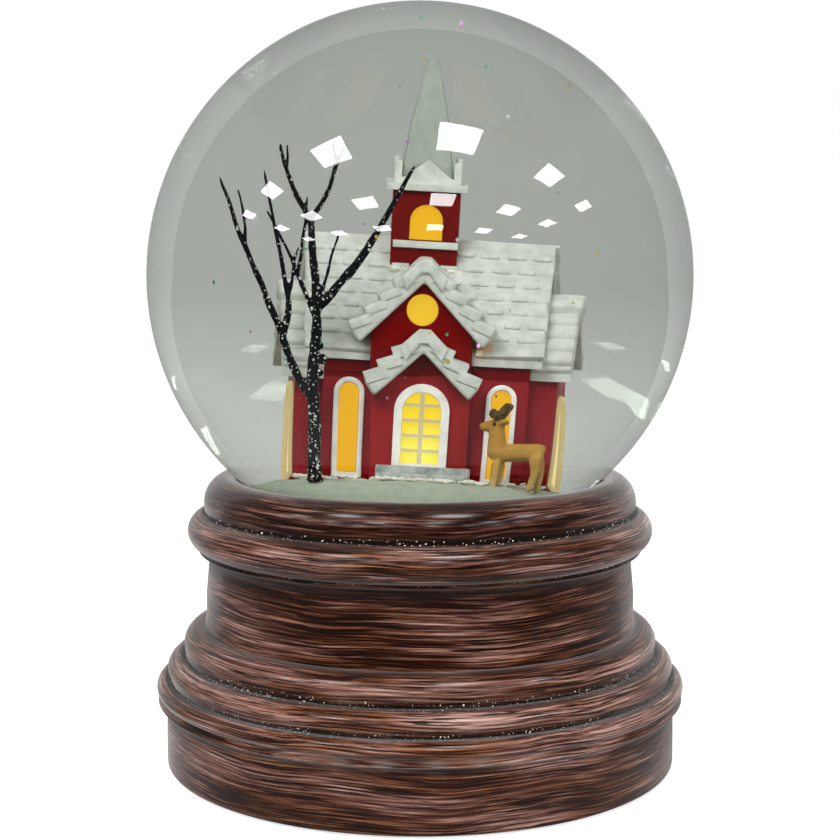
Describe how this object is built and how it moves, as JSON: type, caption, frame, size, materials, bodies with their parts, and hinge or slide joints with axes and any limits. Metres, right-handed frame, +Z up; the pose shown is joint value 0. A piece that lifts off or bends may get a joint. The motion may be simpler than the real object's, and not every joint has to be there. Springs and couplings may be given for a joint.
{
  "type": "snow globe",
  "caption": "Water-filled glass snow globe on a turned, stepped base, with a lit chapel, a bare tree and a deer inside and a battery light below.",
  "frame": {"origin": "centre of the base's underside, on the surface that the globe stands on", "axes": "+Z up through the middle of the ball, -Y towards the front, where the chapel door faces, +X to the right"},
  "size_m": [0.15, 0.15, 0.21],
  "materials": {
    "glass": "clear, polished",
    "rubber": "matt",
    "clear_plastic": "clear, polished",
    "snow": "cast resin, painted as snow",
    "roof": "cast resin, painted white, shingled",
    "spire": "cast resin, painted pale grey",
    "red_paint": "cast resin, painted deep red, satin",
    "white_paint": "cast resin, painted white, satin",
    "step": "cast resin, painted grey",
    "amber_pane": "translucent amber, lit from behind",
    "door_pane": "translucent yellow, lit from behind",
    "tree": "black with white flecks",
    "deer": "cast resin, painted tan",
    "antlers": "dark brown",
    "wood": "dark brown stain, fine brushed grain, satin",
    "black_plastic": "moulded, matt",
    "grey_plastic": "moulded, matt",
    "board": "coated board",
    "led": "clear warm lens",
    "steel": "zinc plated",
    "cell": "sleeved, plain",
    "wire": "insulated"
  },
  "bodies": {
    "root": {"glass_globe": "glass", "rubber_stopper": "rubber", "light_window": "clear_plastic", "snow_ground": "snow", "chapel_walls": "red_paint", "entrance_walls": "red_paint", "nave_roof": "roof", "wing_roofs": "roof", "entrance_roof": "roof", "porch_roof": "roof", "tower_walls": "red_paint", "tower_cornice": "spire", "spire": "spire", "window_frames": "white_paint", "window_panes": "amber_pane", "door_frame": "white_paint", "door_pane": "door_pane", "entrance_steps": "step", "tree": "tree", "deer": "deer", "deer_antlers": "antlers", "base_casing": "wood", "globe_seal": "rubber", "clamp_plate": "grey_plastic", "clamp_screws": "steel", "light_board": "board", "light_leds": "led", "board_screws": "steel", "light_wires": "wire", "battery_box": "black_plastic", "batteries": "cell", "battery_springs": "steel", "contact_plates": "steel", "switch_body": "grey_plastic", "door_hinge_pin": "steel", "bottom_plate": "black_plastic", "plate_screws": "steel", "rubber_feet": "rubber"},
    "knob": {"switch_knob": "grey_plastic"},
    "door": {"battery_door": "wood"}
  },
  "joints": [
    {"name": "switch_slide", "type": "slide", "parent": "root", "child": "knob", "axis": [1, 0, 0], "range_m": [0, 0.003]},
    {"name": "battery_door_hinge", "type": "hinge", "parent": "root", "child": "door", "pos_m": [0, -0.02545, 0.0032], "axis": [-1, 0, 0], "range_deg": [0, 95]}
  ]
}
